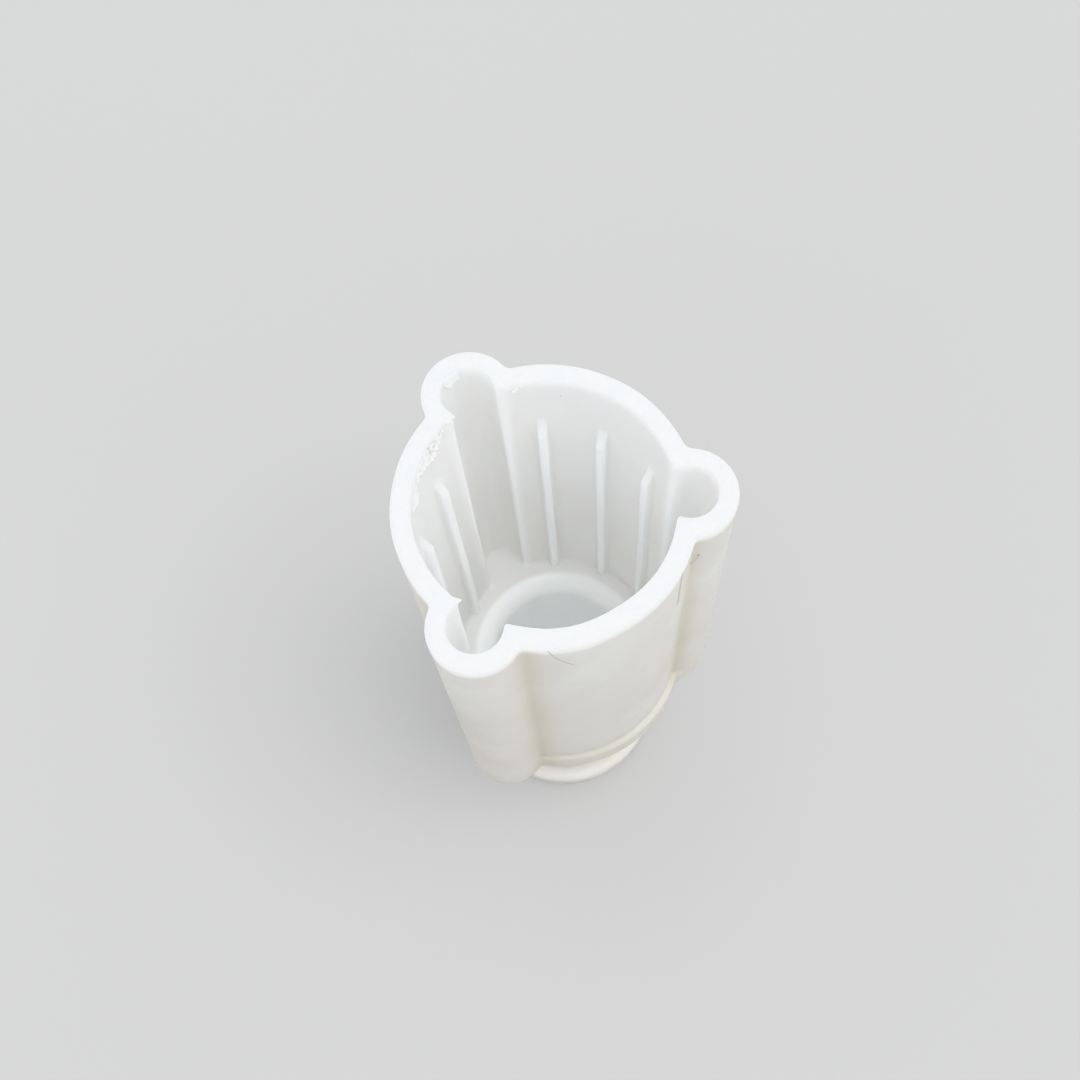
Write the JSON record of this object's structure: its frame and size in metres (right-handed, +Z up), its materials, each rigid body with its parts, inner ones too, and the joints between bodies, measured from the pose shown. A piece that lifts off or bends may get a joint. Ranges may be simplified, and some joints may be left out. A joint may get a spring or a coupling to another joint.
{
  "type": "silicone plaster casting mould",
  "caption": "Open-topped flexible mould: a round ribbed cavity with three ear channels, a flat shoulder, a closed neck and a base.",
  "frame": {"origin": "centre of the flat underside of the base, on the mould's axis", "axes": "+Z up along the mould's axis to the open rim, +Y towards the back ear, +X to the right of it"},
  "size_m": [0.068, 0.0684, 0.15],
  "materials": {
    "silicone": "satin, milky and slightly translucent",
    "dried_plaster": "chalky matte, stands in for dried plaster"
  },
  "bodies": {
    "root": {"mould_body": "silicone", "plaster_crust": "dried_plaster", "plaster_flake": "dried_plaster", "plaster_crumbs": "dried_plaster"}
  },
  "joints": []
}
